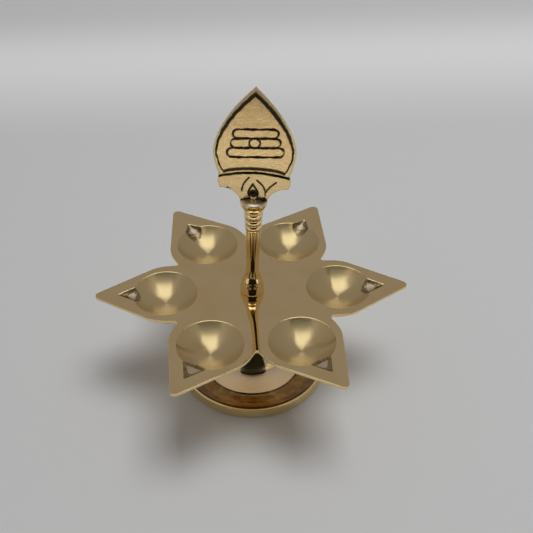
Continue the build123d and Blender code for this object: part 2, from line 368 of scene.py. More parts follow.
def pedestal_brass():
    """Polished neck and rim, a satin bell painted paler as a reflection of bright light, and a moat painted
    dark brown as shade.
    """
    material, nodes, surface, place = new_material("pedestal_brass")
    rings = lathe_rings(nodes, place, 2200.0)
    in_moat = nodes.attribute("in_moat")
    on_bell = nodes.attribute("on_bell")
    clouds = nodes.ramp(nodes.noise(place, 260.0, 4.0, 0.65), 0.35, 0.7)
    # painted shade: the moat's recess is coloured dark brown for the dark it mirrors
    painted_shade_brown = nodes.mix(clouds, (0.22, 0.13, 0.055, 1.0), (0.36, 0.235, 0.11, 1.0))
    colour = nodes.mix(nodes.math("MULTIPLY", clouds, 0.12), BRASS_YELLOW, BRASS_DEEP)
    # painted reflection: the satin bell is coloured paler for the bright light it mirrors
    colour = nodes.mix(on_bell, colour, BRASS_PAINTED_REFLECTION)
    colour = nodes.mix(in_moat, colour, painted_shade_brown)
    level = nodes.ramp(rings, 0.3, 0.7, 0.06, 0.10)
    level = nodes.math("ADD", level, nodes.math("MULTIPLY", on_bell, 0.21))
    nodes.feed(surface, nodes.metal(colour, level, nodes.bump(rings, 0.003 * MM), 0.9))
    return material


def tray_brass():
    """Mirror-polished plate, turned cups and filed wick grooves, told apart by values on the mesh."""
    material, nodes, surface, place = new_material("tray_brass")
    in_cup = nodes.attribute("in_cup")
    in_groove = nodes.attribute("in_groove")
    colour = brass_colour(nodes, place)
    # plate: nearly a mirror, with hairline polishing scratches and slight unevenness
    scratches = nodes.noise(nodes.stretched(place, (2500.0, 160.0, 160.0)), 1.0, 3.0, 0.6)
    waves = nodes.noise(place, 55.0, 2.0)
    plate_level = nodes.ramp(nodes.noise(place, 120.0, 4.0, 0.6), 0.3, 0.8, 0.03, 0.07)
    plate_normal = nodes.bump(scratches, 0.0002 * MM, 1.0, nodes.bump(waves, 0.03 * MM))
    plate = nodes.metal(colour, plate_level, plate_normal)
    # cups: turned marks spread the reflections from the centre of the cup to its rim
    run = nodes.add("ShaderNodeCombineXYZ", {"X": nodes.attribute("cup_distance")}).outputs[0]
    rings = nodes.noise(run, 3.2, 4.0, 0.7)
    cup_normal = nodes.bump(rings, 0.0022 * MM)
    fine = nodes.metal(BRASS_CUP, nodes.ramp(rings, 0.3, 0.7, 0.13, 0.19), cup_normal, 1.0)
    broad = nodes.metal(BRASS_CUP, nodes.ramp(rings, 0.3, 0.7, 0.33, 0.39), cup_normal, 1.0)
    cup = nodes.add("ShaderNodeMixShader", {0: 0.6, 1: fine, 2: broad})
    # grooves: filed, dull, with dirt in the hollows
    file_marks = nodes.noise(nodes.stretched(place, (900.0, 900.0, 2600.0)), 1.0, 3.0, 0.6)
    dirt = nodes.ramp(file_marks, 0.36, 0.66, 0.5, 0.85)
    groove = nodes.metal(nodes.mix(dirt, colour, PATINA), 0.34, nodes.bump(file_marks, 0.05 * MM))
    both = nodes.add("ShaderNodeMixShader", {0: in_cup, 1: plate, 2: cup.outputs[0]})
    all_three = nodes.add("ShaderNodeMixShader", {0: in_groove, 1: both.outputs[0], 2: groove})
    # underside: satin as cast
    cast_marks = nodes.noise(place, 700.0, 4.0, 0.6)
    cast = nodes.metal(BRASS_CAST, 0.5, nodes.bump(cast_marks, 0.08 * MM))
    beneath = nodes.attribute("beneath")
    whole = nodes.add("ShaderNodeMixShader", {0: beneath, 1: all_three.outputs[0], 2: cast})
    nodes.feed(surface, whole.outputs[0])
    return material


def blade_brass():
    """Satin brass with dark patina in the engraving."""
    material, nodes, surface, place = new_material("blade_brass")
    patina = nodes.attribute("patina")
    grain = nodes.noise(nodes.stretched(place, (500.0, 500.0, 2600.0)), 1.0, 3.0, 0.6)
    speckle = nodes.noise(place, 2600.0, 3.0, 0.6)
    edge = nodes.ramp(nodes.math("ADD", patina, nodes.math("MULTIPLY", speckle, 0.35)), 0.42, 0.62)
    dark = nodes.math("MULTIPLY", edge, 0.96)
    colour = nodes.mix(dark, brass_colour(nodes, place, 160.0), PATINA)
    level = nodes.ramp(grain, 0.3, 0.7, 0.24, 0.34)
    uneven = nodes.bump(nodes.noise(place, 240.0, 2.0), 0.06 * MM)
    level = nodes.math("ADD", level, nodes.math("MULTIPLY", dark, 0.25))
    nodes.feed(surface, nodes.metal(colour, level, nodes.bump(grain, 0.004 * MM, 1.0, uneven)))
    return material


def solder():
    """Dull dark solder with soot in its hollows."""
    material, nodes, surface, place = new_material("solder")
    lumps = nodes.noise(place, 1500.0, 4.0, 0.7)
    colour = nodes.mix(nodes.ramp(lumps, 0.4, 0.65), (0.03, 0.028, 0.022, 1.0), (0.16, 0.15, 0.12, 1.0))
    nodes.feed(surface, nodes.metal(colour, 0.5, nodes.bump(lumps, 0.2 * MM)))
    return material


def fastener_steel():
    """Zinc-plated steel with small tarnish spots."""
    material, nodes, surface, place = new_material("fastener_steel")
    spots = nodes.noise(place, 700.0, 4.0, 0.6)
    colour = nodes.mix(nodes.ramp(spots, 0.5, 0.7), (0.56, 0.56, 0.54, 1.0), (0.36, 0.33, 0.28, 1.0))
    level = nodes.ramp(spots, 0.3, 0.7, 0.24, 0.45)
    nodes.feed(surface, nodes.metal(colour, level, nodes.bump(nodes.noise(place, 2400.0, 3.0), 0.01 * MM)))
    return material


# ---- pedestal -----------------------------------------------------------------------------------
FOOT_INNER = 26.6
FOOT_OUTER = 29.3
RIM_OUTER = 29.1
RIM_INNER = 28.3
RIM_TOP = 4.0
BELL_EDGE = (19.3, 3.0)
NECK_TOP = (6.1, 29.5)
SEAT_RADIUS = 9.0
SEAT_DEPTH = 2.0
WEB_HEIGHT = 17.5
HOLLOW_EDGE = 18.3
FOOT_CEILING = 0.8


def build_pedestal():
    """One turned casting: seat, neck, bell, moat, rim and the hollow underneath."""
    seat_under = TRAY_TOP - PLATE_THICKNESS
    bell = [BELL_EDGE, (14.0, 5.2), (12.8, 6.2), (11.8, 8.0), (9.5, 12.5), (7.25, 17.0), (6.3, 22.5)]
    hollow = [(WEB_RECESS, WEB_HEIGHT), (7.6, 13.0), (9.4, 8.6), (11.8, 4.9), (17.3, FOOT_CEILING + 0.8)]
    curves = [
        straight((FOOT_INNER, 0.0), (FOOT_OUTER, 0.0), 3),
        straight((FOOT_OUTER, 0.0), (RIM_OUTER, RIM_TOP), 6),
        straight((RIM_OUTER, RIM_TOP), (RIM_INNER, RIM_TOP), 3),
        arc_through((RIM_INNER, RIM_TOP), (23.6, 1.95), (19.5, 2.3), 28),
        straight((19.5, 2.3), BELL_EDGE, 3),
        smooth_through(bell + [NECK_TOP], 14, (-1.0, 0.34), (-0.05, 1.0)),
        smooth_through([NECK_TOP, (SEAT_RADIUS, seat_under - SEAT_DEPTH)], 18, (-0.05, 1.0), (1.0, 0.25)),
        straight((SEAT_RADIUS, seat_under - SEAT_DEPTH), (SEAT_RADIUS, seat_under), 3),
        straight((SEAT_RADIUS, seat_under), (BORE_RADIUS, seat_under), 3),
        straight((BORE_RADIUS, seat_under), (BORE_RADIUS, WEB_HEIGHT), 3),
        straight((BORE_RADIUS, WEB_HEIGHT), (WEB_RECESS, WEB_HEIGHT), 3),
        smooth_through(hollow, 10, (0.3, -1.0), (1.0, -0.3)),
        straight((17.3, FOOT_CEILING + 0.8), (HOLLOW_EDGE, FOOT_CEILING), 3),
        straight((HOLLOW_EDGE, FOOT_CEILING), (26.2, FOOT_CEILING), 3),
        straight((26.2, FOOT_CEILING), (FOOT_INNER, 0.0), 3),
    ]
    radii = [0.25, 0.3, 0.22, 0.15, 0.18, 0.02, 0.15, 0.12, 0.05, 0.05, 0.3, 0.2, 0.3, 0.2]
    profile = join_rounded(curves, radii)[:-1]
    pedestal = lathe("pedestal_casting", profile, 224, pedestal_brass(), closed=True)
    place = points_of(pedestal)
    radius, height = np.hypot(place[:, 0], place[:, 1]), place[:, 2]
    on_bell = (radius > 12.7) & (radius < 19.4) & (height > 0.9 + 0.31 * (23.0 - radius))
    in_moat = (radius > 19.4) & (radius < 28.4) & (height > 1.2)
    store(pedestal, "on_bell", on_bell.astype(float))
    store(pedestal, "in_moat", in_moat.astype(float))
    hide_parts("pedestal_base")
    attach(pedestal, "pedestal")


# ---- stem ---------------------------------------------------------------------------------------
def stem_profile():
    """Right-hand side of the stem in (radius, height above the tray), from its foot to its top."""
    bead_places = [(4.15, 0.0), (4.6, 1.3), (4.33, 3.2), (3.9, 4.65)]
    foot_bead = smooth_through(bead_places, 9, (1.0, 1.0), (-0.35, 1.0))
    bell_places = [(3.9, 4.65), (3.86, 5.2), (3.6, 6.1), (3.12, 7.5), (2.72, 9.2), (2.42, 11.7)]
    bell = smooth_through(bell_places, 9, (0.05, 1.0), (0.0, 1.0))
    shaft = smooth_through([(2.42, 11.7), (2.7, 29.5)], 20, (0.0, 1.0), (0.02, 1.0))
    curves = [foot_bead, bell, shaft]
    radii = [0.12, 0.3]
    base, radius = 29.5, 2.7
    for top, groove_radius in ((31.8, 2.78), (34.2, 2.93), (37.2, 3.2), (38.7, 3.4)):
        middle = ((radius + groove_radius) / 2 + 0.3, (base + top) / 2)
        curves.append(arc_through((radius, base), middle, (groove_radius, top), 12))
        radii.append(0.08)
        base, radius = top, groove_radius
    collar_places = [(3.4, 38.7), (4.2, 39.6), (4.75, 41.0), (4.95, 42.2)]
    collar = smooth_through(collar_places, 9, (1.0, 0.75), (0.05, 1.0))
    dome_places = [(4.95, 42.2), (4.7, 42.5), (3.2, 43.06), (0.0, STEM_HEIGHT)]
    dome = smooth_through(dome_places, 9, (-0.2, 1.0), (-1.0, 0.0))
    return join_rounded(curves + [collar, dome], radii + [0.08, 0.05])


def build_stem():
    """Turned stem with a blind hole for the tie rod."""
    hole_top = 6.5
    hole_radius = ROD_RADIUS + 0.02
    hole = np.array([(0.0, hole_top), (hole_radius, hole_top), (hole_radius, 0.0)])
    profile = np.concatenate([hole, stem_profile()])
    profile[:, 1] += TRAY_TOP
    stem = lathe("stem_turning", profile, 160, stem_brass())
    on_dome = points_of(stem)[:, 2] > TRAY_TOP + 42.3
    store(stem, "on_dome", on_dome.astype(float))
    lean(stem)
    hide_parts("stem")
    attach(stem, "spindle")


# ---- tray ---------------------------------------------------------------------------------------
def fillet_arc(before, corner, after, radius, steps):
    """Points and outward normals of the arc that rounds one corner of an anticlockwise outline."""
    before, corner, after = (np.array(p, float) for p in (before, corner, after))
    a = (before - corner) / np.linalg.norm(before - corner)
    b = (after - corner) / np.linalg.norm(after - corner)
    half = 0.5 * math.acos(float(a @ b))
    centre = corner + (a + b) / np.linalg.norm(a + b) * radius / math.sin(half)
    first = corner + a * radius / math.tan(half) - centre
    last = corner + b * radius / math.tan(half) - centre
    turn = math.atan2(first[0] * last[1] - first[1] * last[0], float(first @ last))
    angles = math.atan2(first[1], first[0]) + turn * np.linspace(0.0, 1.0, steps)
    ray = np.stack([np.cos(angles), np.sin(angles)], 1)
    return centre + radius * ray, ray * (1.0 if turn > 0 else -1.0)


def petal_half_boundary():
    """Upper half of one petal's boundary from its tip to the lamp's axis, with outward normals."""
    notch_turn = math.pi / PETALS
    notch = NOTCH_RADIUS * np.array([math.cos(notch_turn), math.sin(notch_turn)])
    tip = (PETAL_CORNER, 0.0)
    low_shoulder, shoulder = (SHOULDER[0], -SHOULDER[1]), SHOULDER
    turn = 2 * notch_turn
    next_shoulder = (
        SHOULDER[0] * math.cos(turn) + SHOULDER[1] * math.sin(turn),
        SHOULDER[0] * math.sin(turn) - SHOULDER[1] * math.cos(turn),
    )
    tip_points, tip_normals = fillet_arc(low_shoulder, tip, shoulder, TIP_FILLET, 41)
    side_points, side_normals = fillet_arc(tip, shoulder, notch, SHOULDER_FILLET, 80)
    notch_points, notch_normals = fillet_arc(shoulder, notch, next_shoulder, NOTCH_FILLET, 41)
    points = np.concatenate([tip_points[20:], side_points, notch_points[:21]])
    normals = np.concatenate([tip_normals[20:], side_normals, notch_normals[:21]])
    return points, normals


def petal_rays():
    """Where rays from a cup's centre meet its petal's boundary: angle, point, normal and kind of edge.

    Kind 1 is the tray's outer edge, 0 a line shared with the next petal and 2 the bore.
    """
    centre = np.array([CUP_RING_RADIUS, 0.0])
    outline, normals = petal_half_boundary()
    outline_angle = np.degrees(np.arctan2(outline[:, 1], outline[:, 0] - centre[0]))
    notch_angle = outline_angle[-1]
    bore_corner = BORE_RADIUS * np.array([math.cos(math.pi / PETALS), math.sin(math.pi / PETALS)])
    bore_angle = math.degrees(math.atan2(bore_corner[1], bore_corner[0] - centre[0]))
    near_tip = np.arange(0.0, 22.0, 0.8)
    side = np.arange(22.0, notch_angle - 4.0, 2.4)
    near_notch = np.linspace(notch_angle - 3.6, notch_angle, 8)
    shared = np.linspace(notch_angle + 2.4, bore_angle, 26)
    bore = np.linspace(bore_angle, 180.0, 4)[1:]
    rows = []
    for angle in np.concatenate([near_tip, side, near_notch]):
        point = [np.interp(angle, outline_angle, outline[:, k]) for k in range(2)]
        normal = np.array([np.interp(angle, outline_angle, normals[:, k]) for k in range(2)])
        rows.append((angle, *point, *(normal / np.linalg.norm(normal)), 1))
    slope = math.tan(math.pi / PETALS)
    for angle in shared:
        ray = math.tan(math.radians(angle))
        x = ray * centre[0] / (ray - slope)
        rows.append((angle, x, slope * x, 0.0, 0.0, 0))
    for angle in bore:
        ray = np.array([math.cos(math.radians(angle)), math.sin(math.radians(angle))])
        b = float(centre @ ray)
        reach = -b - math.sqrt(b * b - (centre @ centre - BORE_RADIUS**2))
        rows.append((angle, *(centre + reach * ray), 0.0, 0.0, 2))
    upper = np.array(rows)
    lower = upper[-2:0:-1].copy()
    lower[:, 0] = 360.0 - lower[:, 0]
    lower[:, [2, 4]] *= -1.0
    return np.concatenate([upper, lower])


def groove_height(x, y, point, half_angle, tilt):
    """Height of the conical wick groove below the plate's face, or a large value beside it."""
    c, s = math.cos(math.radians(tilt)), math.sin(math.radians(tilt))
    cone = math.cos(math.radians(half_angle)) ** 2
    reach = point - x
    spread = cone - s * s
    under_root = (reach * c * s) ** 2 + spread * ((c * c - cone) * reach**2 - cone * y**2)
    height = (reach * c * s - np.sqrt(np.maximum(under_root, 0.0))) / spread
    return np.where((reach > 0) & (reach < GROOVE_REACH) & (under_root > 0), height, 9.0)


def top_height(x, y, groove):
    """Height of the tray's upper side above its face, with softened edges at cup and groove."""
    distance = np.hypot(x - CUP_RING_RADIUS, y)
    bowl = CUP_CENTRE_HEIGHT - np.sqrt(np.maximum(CUP_SPHERE**2 - distance**2, 1.0))
    bowl = np.where(distance < CUP_RIM_RADIUS + 3.0, bowl, 9.0)
    cup = smooth_min(0.0 * x, bowl, 0.22)
    return smooth_min(cup, groove_height(x, y, *groove), 0.35)


def under_height(x, y):
    """Height of the tray's underside below its face: the plate and the bowls that hang from it."""
    distance = np.hypot(x - CUP_RING_RADIUS, y)
    outer = CUP_SPHERE + CUP_WALL
    bowl = CUP_CENTRE_HEIGHT - np.sqrt(np.maximum(outer**2 - distance**2, 1.0))
    return smooth_min(-PLATE_THICKNESS + 0.0 * x, bowl, 0.5)


def petal_mesh(groove):
    """Points and faces of one petal, top, edge and underside, in rows round its cup."""
    rays = petal_rays()
    angle = np.radians(rays[:, 0])
    edge, normal, kind = rays[:, 1:3], rays[:, 3:5], rays[:, 5]
    centre = np.array([CUP_RING_RADIUS, 0.0])
    ray = np.stack([np.cos(angle), np.sin(angle)], 1)
    rim = centre + CUP_RIM_RADIUS * ray
    inner_edge = edge - PLATE_EDGE_ROUND * normal
    span = np.linalg.norm(inner_edge - rim, axis=1)[:, None]
    rows = []

    def add_row(flat, height):
        rows.append(np.column_stack([flat, height]))

    inside = [1.0, 2.2, 3.4, 4.6, 5.8, 7.0, 8.0, 8.8, 9.4, 9.9]
    inside += [10.3, 10.7, 11.1, 11.4, 11.65, 11.85, 12.0, 12.1, 12.2]
    for distance in inside:
        flat = centre + distance * ray
        add_row(flat, top_height(flat[:, 0], flat[:, 1], groove))
    outside = [0.0, 0.1, 0.2, 0.32, 0.48, 0.7, 0.95] + [1.2 + 0.25 * i for i in range(22)]
    shrink = np.minimum(1.0, (span - 0.2) / 6.8)
    for step in outside:
        flat = rim + (inner_edge - rim) * (step * shrink / span)
        add_row(flat, top_height(flat[:, 0], flat[:, 1], groove))
    for left in (0.14, 0.0):
        flat = inner_edge - (inner_edge - rim) * (left / span)
        add_row(flat, top_height(flat[:, 0], flat[:, 1], groove))
    for turn in (0.25, 0.5, 0.75, 1.0):
        swing = turn * math.pi / 2
        flat = edge - PLATE_EDGE_ROUND * (1 - math.sin(swing)) * normal
        add_row(flat, np.full(len(flat), -PLATE_EDGE_ROUND * (1 - math.cos(swing))))
    top_last = len(rows) - 1
    add_row(edge, np.where(kind == 1, -PLATE_EDGE_ROUND - 0.15, -PLATE_EDGE_ROUND))
    add_row(edge, np.full(len(edge), -PLATE_THICKNESS + UNDER_CHAMFER + 0.1))
    add_row(edge, np.full(len(edge), -PLATE_THICKNESS + UNDER_CHAMFER))
    wall_last = len(rows) - 1
    add_row(edge - UNDER_CHAMFER * normal, np.full(len(edge), -PLATE_THICKNESS))
    add_row(edge - (UNDER_CHAMFER + 0.15) * normal, np.full(len(edge), -PLATE_THICKNESS))
    under_edge = edge - (UNDER_CHAMFER + 0.15) * normal
    under_span = np.linalg.norm(under_edge - rim, axis=1)[:, None]
    for share in (0.85, 0.6, 0.4, 0.25, 0.12, 0.0):
        flat = rim + (under_edge - rim) * np.minimum(share, 1.7 / under_span)
        add_row(flat, under_height(flat[:, 0], flat[:, 1]))
    for distance in (12.0, 11.6, 11.0, 10.0, 8.6, 7.0, 5.4, 3.8, 2.2, 1.0):
        flat = centre + distance * ray
        add_row(flat, under_height(flat[:, 0], flat[:, 1]))
    count = len(rays)
    points = np.concatenate(rows)
    following = np.roll(kind, -1)
    walled = ((kind == 1) & (following == 1)) | (kind == 2) | (following == 2)
    faces = []
    for i in range(len(rows) - 1):
        in_edge = top_last - 4 <= i < wall_last + 2
        for j in range(count):
            k = (j + 1) % count
            if in_edge and not walled[j]:
                continue
            faces.append((i * count + j, i * count + k, (i + 1) * count + k, (i + 1) * count + j))
    pole_top, pole_under = len(points), len(points) + 1
    poles = [(CUP_RING_RADIUS, 0.0, -CUP_DEPTH), (CUP_RING_RADIUS, 0.0, -CUP_DEPTH - CUP_WALL)]
    points = np.concatenate([points, poles])
    last = (len(rows) - 1) * count
    for j in range(count):
        k = (j + 1) % count
        faces.append((pole_top, k, j))
        faces.append((pole_under, last + j, last + k))
    # rows where the petal meets its neighbours are level with the plate's face
    shared = np.tile(kind != 1, len(rows))
    row_of = np.repeat(np.arange(len(rows)), count)
    level = (row_of > top_last - 4) & (row_of <= top_last) & shared
    points[: len(level)][level, 2] = 0.0
    first_wall = (row_of == top_last + 1) & shared
    points[: len(level)][first_wall, 2] = -0.2
    low = (row_of > wall_last - 1) & (row_of <= wall_last) & shared
    points[: len(level)][low, 2] = -PLATE_THICKNESS
    return points, faces


def front_ridge(p):
    """Low crown of the plate between the two front cups, where the casting was ground less."""
    across = np.exp(-(((p[:, 0] - RIDGE_SHIFT) / RIDGE_WIDTH) ** 2))
    along = smoothstep(9.0, 20.0, -p[:, 1])
    on_top = p[:, 2] > TRAY_TOP - 0.5 * PLATE_THICKNESS
    return RIDGE_HEIGHT * across * along * on_top


def build_tray():
    """Six petals round the axis, merged into one plate."""
    shift = np.random.default_rng(11)
    all_points, all_faces, at = [], [], 0
    for index in range(PETALS):
        at_back = index in BACK_PETALS
        groove = (
            GROOVE_POINT + shift.uniform(-0.35, 0.35) - (BACK_GROOVE_SHORTER if at_back else 0.0),
            GROOVE_HALF_ANGLE + shift.uniform(-1.0, 1.0) + (BACK_GROOVE_WIDER if at_back else 0.0),
            GROOVE_TILT,
        )
        points, faces = petal_mesh(groove)
        turn = index * math.tau / PETALS
        c, s = math.cos(turn), math.sin(turn)
        x, y, z = points.T
        spun = np.column_stack([x * c - y * s, x * s + y * c, z + TRAY_TOP])
        all_points.append(spun)
        all_faces += [tuple(v + at for v in face) for face in faces]
        at += len(points)
    tray_points = np.concatenate(all_points)
    tray_points[:, 2] += front_ridge(tray_points)
    tray = new_piece("tray_casting", tray_points, all_faces, tray_brass(), merge=2e-3)
    p = points_of(tray)
    sector = np.round(np.arctan2(p[:, 1], p[:, 0]) / (math.tau / PETALS)) * math.tau / PETALS
    along = p[:, 0] * np.cos(sector) + p[:, 1] * np.sin(sector) - CUP_RING_RADIUS
    across = -p[:, 0] * np.sin(sector) + p[:, 1] * np.cos(sector)
    distance = np.maximum(np.hypot(along, across), 1e-6)
    height = p[:, 2] - TRAY_TOP
    bowl = CUP_CENTRE_HEIGHT - np.sqrt(np.maximum(CUP_SPHERE**2 - distance**2, 1.0))
    ray_x = (along * np.cos(sector) - across * np.sin(sector)) / distance
    ray_y = (along * np.sin(sector) + across * np.cos(sector)) / distance
    store(tray, "marks", np.stack([-ray_y, ray_x, 0 * ray_x], 1))
    store(tray, "cup_distance", distance)
    store(tray, "in_cup", (distance < CUP_RIM_RADIUS + 0.05).astype(float))
    in_bowl = np.abs(bowl - height) < 0.06
    filed = (height < -0.03) & ~in_bowl & (along > 8.0) & (height > -3.0) & (np.abs(across) < 5.5)
    filed &= along < GROOVE_POINT - CUP_RING_RADIUS + 1.0
    store(tray, "in_groove", filed.astype(float))
    under_plate = height < -PLATE_THICKNESS + UNDER_CHAMFER
    hanging = np.where(distance < CUP_RIM_RADIUS + 1.0, bowl - height > 0.9, under_plate)
    store(tray, "beneath", (hanging & (height < -1.05)).astype(float))
    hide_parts("lamp_tray")
    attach(tray, "tray")


# ---- blade --------------------------------------------------------------------------------------
LEAF_START = 9.5                   # above this height the blade's edge is rounded more
LEAF_ROUND = 0.95
FOOT_ROUND = 0.32


def blade_outline():
    """Right-hand outline of the blade as (half width, height above the collar), foot to tip."""
    foot = arc_through((4.95, 0.0), (7.3, 2.9), (11.8, 4.3), 30)
    lobe = arc_through((11.8, 4.3), (12.5, 5.9), (12.05, 8.9), 16)
    cheek = arc_through((12.05, 8.9), (13.2, 12.65), (14.1, 17.5), 30)
    flank_places = [(14.1, 17.5), (11.5, 27.2), (6.2, 35.6), (0.0, 42.4)]
    flank = smooth_through(flank_places, 40, (0.0, 1.0), (-1.0, 0.95))
    return join_rounded([foot, lobe, cheek, flank], [0.35, 0.3, 0.3])


def distance_to(points, line):
    """Shortest distance from each point to a polyline."""
    best = np.full(len(points), 1e9)
    for a, b in zip(line[:-1], line[1:]):
        ab = b - a
        t = np.clip(((points - a) @ ab) / max(float(ab @ ab), 1e-12), 0.0, 1.0)
        best = np.minimum(best, np.hypot(*(points - a - t[:, None] * ab).T))
    return best


def stadium_distance(x, h, centre, width, height):
    """Distance to the outline of a bar with round ends."""
    radius = height / 2
    reach = np.maximum(np.abs(x - centre[0]) - (width / 2 - radius), 0.0)
    return np.abs(np.hypot(reach, h - centre[1]) - radius)


def wander(x, h, seed, amount):
    """Slow unevenness of a hand-cut line."""
    return amount * (np.sin(0.9 * x + 1.3 * h + seed) + 0.6 * np.sin(2.1 * x - 1.7 * h + 2.0 * seed))


def cut(distance, half_width, depth):
    """Cross-section of an engraved line."""
    return depth * np.sqrt(np.clip(1.0 - (distance / half_width) ** 2, 0.0, 1.0))


def bar_lines(x, h):
    """Distances to the outlines of the three stacked bars and to the medallion's ring."""
    lines = []
    h = h - 0.04 * x
    for centre, width, height in ((18.95, 19.1, 3.6), (22.6, 16.6, 3.5), (26.2, 15.1, 3.4)):
        lines.append(stadium_distance(x, h, (0.3, centre), width, height) + wander(x, h, centre, 0.09))
    medallion = np.hypot(x, h - 22.55)
    return np.where(medallion > 1.85, np.abs(np.min(np.abs(lines), axis=0)), 9.0), np.abs(medallion - 1.85)


def leaf_lines(x, h, leaf_edge):
    """Distances to the border line, the waistline and the line above it, in units of their half widths."""
    inset = np.interp(h, [9.0, 10.5, 13.3, 18.2, 24.0, 32.0, 41.0], [2.6, 2.2, 1.6, 1.15, 0.95, 1.0, 1.25])
    border = np.abs(leaf_edge - inset + wander(x, h, 1.0, 0.07))
    border = border / np.interp(h, [9.0, 12.0, 22.0, 30.0, 42.0], [0.18, 0.24, 0.42, 0.62, 0.72])
    border = np.where((h > 10.6) & (np.abs(x) < 13.2), border, 9.0)
    arch = 8.95 + 1.85 * (1.0 - (x / 12.05) ** 2)
    waist = np.abs(h - arch + wander(x, h, 2.0, 0.05)) / 0.42
    second = 10.4 + 2.1 * np.sqrt(np.clip(1.0 - (x / 10.6) ** 2, 0.0, 1.0))
    second = np.where(np.abs(x) < 10.4, np.abs(h - second) / 0.6, 9.0)
    return border, waist, second


def engraving(x, h, leaf_edge):
    """Relief of the blade's face: depth of the engraved lines, less the burr raised above some of them."""
    points = np.stack([x, h], 1)
    border, waist, second = leaf_lines(x, h, leaf_edge)
    bars, ring = bar_lines(x, h)
    deep = cut(border, 1.0, 0.42)
    deep = np.maximum(deep, cut(waist, 1.0, 0.5))
    deep = np.maximum(deep, cut(second, 1.0, 0.15))
    deep = np.maximum(deep, cut(np.minimum(bars, ring), 0.32, 0.32))
    strokes = (
        (((-1.7, 8.8), (-2.7, 7.5), (-3.6, 5.8), (-4.2, 3.3)), 0.28),
        (((1.0, 7.8), (2.1, 6.7), (3.2, 5.3), (3.8, 3.6), (3.95, 1.4)), 0.22),
        (((7.6, 7.1), (6.6, 6.2), (5.6, 5.2), (4.25, 3.0)), 0.28),
        (((-9.0, 4.3), (-9.9, 3.9)), 0.3),
        (((-0.4, 6.1), (-1.1, 4.6), (-1.75, 3.2), (-1.85, 2.1), (-1.4, 0.9)), 0.36),
        (((-0.4, 6.1), (0.35, 4.8), (1.05, 3.5), (1.45, 2.3), (1.2, 0.9)), 0.32),
    )
    for places, half in strokes:
        line = smooth_through(places, 8)
        deep = np.maximum(deep, cut(distance_to(points, line), half, 0.32))
    inside_drop = np.hypot((x + 0.2) / 1.5, (h - 2.1) / 1.7) < 1.0
    deep = np.maximum(deep, np.where(inside_drop, 0.22, 0.0))
    raised_bars, raised_ring = bar_lines(x, h - BURR_RISE)
    burr = cut(np.minimum(raised_bars, raised_ring), 0.22, 0.20)
    in_field = leaf_edge > 2.4
    return np.where((deep < 0.02) & in_field, -burr, deep)


def collar_dome(x):
    """Height of the collar's domed top above its highest point, at a distance from the axis."""
    return np.interp(np.abs(x), [0.0, 3.2, 4.2, 4.7, 5.0], [0.0, -0.29, -0.62, -0.85, -1.2])


def build_blade():
    """Engraved spearhead plate, its front a fine grid, with the ball and the solder at its foot."""
    outline = blade_outline()
    tip = BLADE_HEIGHT - 0.04
    heights = np.concatenate([[-1.9, -1.5, -1.1, -0.7, -0.35], np.arange(0.0, tip, 0.15), [tip]])
    half = np.interp(heights, outline[:, 1], outline[:, 0])
    half = np.where(heights < 0.0, 4.74 + 0.12 * heights, half)
    blunt = np.sqrt(np.clip(TIP_ROUND**2 - (heights - (BLADE_HEIGHT - TIP_ROUND)) ** 2, 0.0009, None))
    blunting = smoothstep(BLADE_HEIGHT - 0.7, BLADE_HEIGHT - 0.1, heights)
    half = half + blunting * (np.minimum(half, blunt) - half)
    share = np.concatenate([np.linspace(0.0, 0.965, 84), [0.975, 0.984, 0.990, 0.995, 0.998, 1.0]])
    share = np.concatenate([-share[:0:-1], share])
    x = half[:, None] * share[None, :]
    h = np.repeat(heights[:, None], len(share), 1)
    full = np.concatenate([outline[outline[:, 1] > 0.0], [[0.0, BLADE_HEIGHT]]])
    flat_x, flat_h = x.ravel(), h.ravel()
    reach = distance_to(np.stack([np.abs(flat_x), flat_h], 1), full)
    leaf = full[full[:, 1] > 8.9]
    leaf_edge = distance_to(np.stack([np.abs(flat_x), flat_h], 1), leaf)
    deep = engraving(flat_x, flat_h, leaf_edge)
    round_over = np.where(flat_h > LEAF_START, LEAF_ROUND, FOOT_ROUND)
    near = np.clip(round_over - reach, 0.0, None)
    rounding = round_over - np.sqrt(np.clip(round_over**2 - near**2, 0.0, None))
    y = -BLADE_HALF_THICKNESS + np.maximum(rounding, np.where(reach > 0.3, deep, 0.6 * deep))
    front = np.stack([flat_x, y, flat_h], 1).reshape(len(heights), len(share), 3)
    back = []
    for inward, at_y in ((0.0, 0.75), (0.12, 1.0), (0.45, 1.15), (4.0, 1.15)):
        back.append(np.stack([half - np.minimum(inward, 0.3 * half), np.full(len(half), at_y), heights], 1))
    mirrored = [b * np.array([-1.0, 1.0, 1.0]) for b in back[::-1]]
    loop = np.concatenate([front, np.stack(back + mirrored, 1)], 1)
    count = loop.shape[1]
    points = loop.reshape(-1, 3) + np.array([0.0, 0.0, COLLAR_TOP])
    faces = capped_faces(len(heights), count)
    material = blade_brass()
    blade = new_piece("blade_engraved", points, faces, material)
    patina = np.zeros((len(heights), count))
    patina[:, : len(share)] = np.clip(deep.reshape(len(heights), -1) / 0.30, 0.0, 1.0)
    at_foot = h < collar_dome(x) + 0.42
    patina[:, : len(share)] = np.where(at_foot, 1.0, patina[:, : len(share)])
    store(blade, "patina", patina.ravel())
    set_askew(blade)
    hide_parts("vel_blade")
    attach(blade, "spindle")
    build_drop_ball(material)
    build_solder()


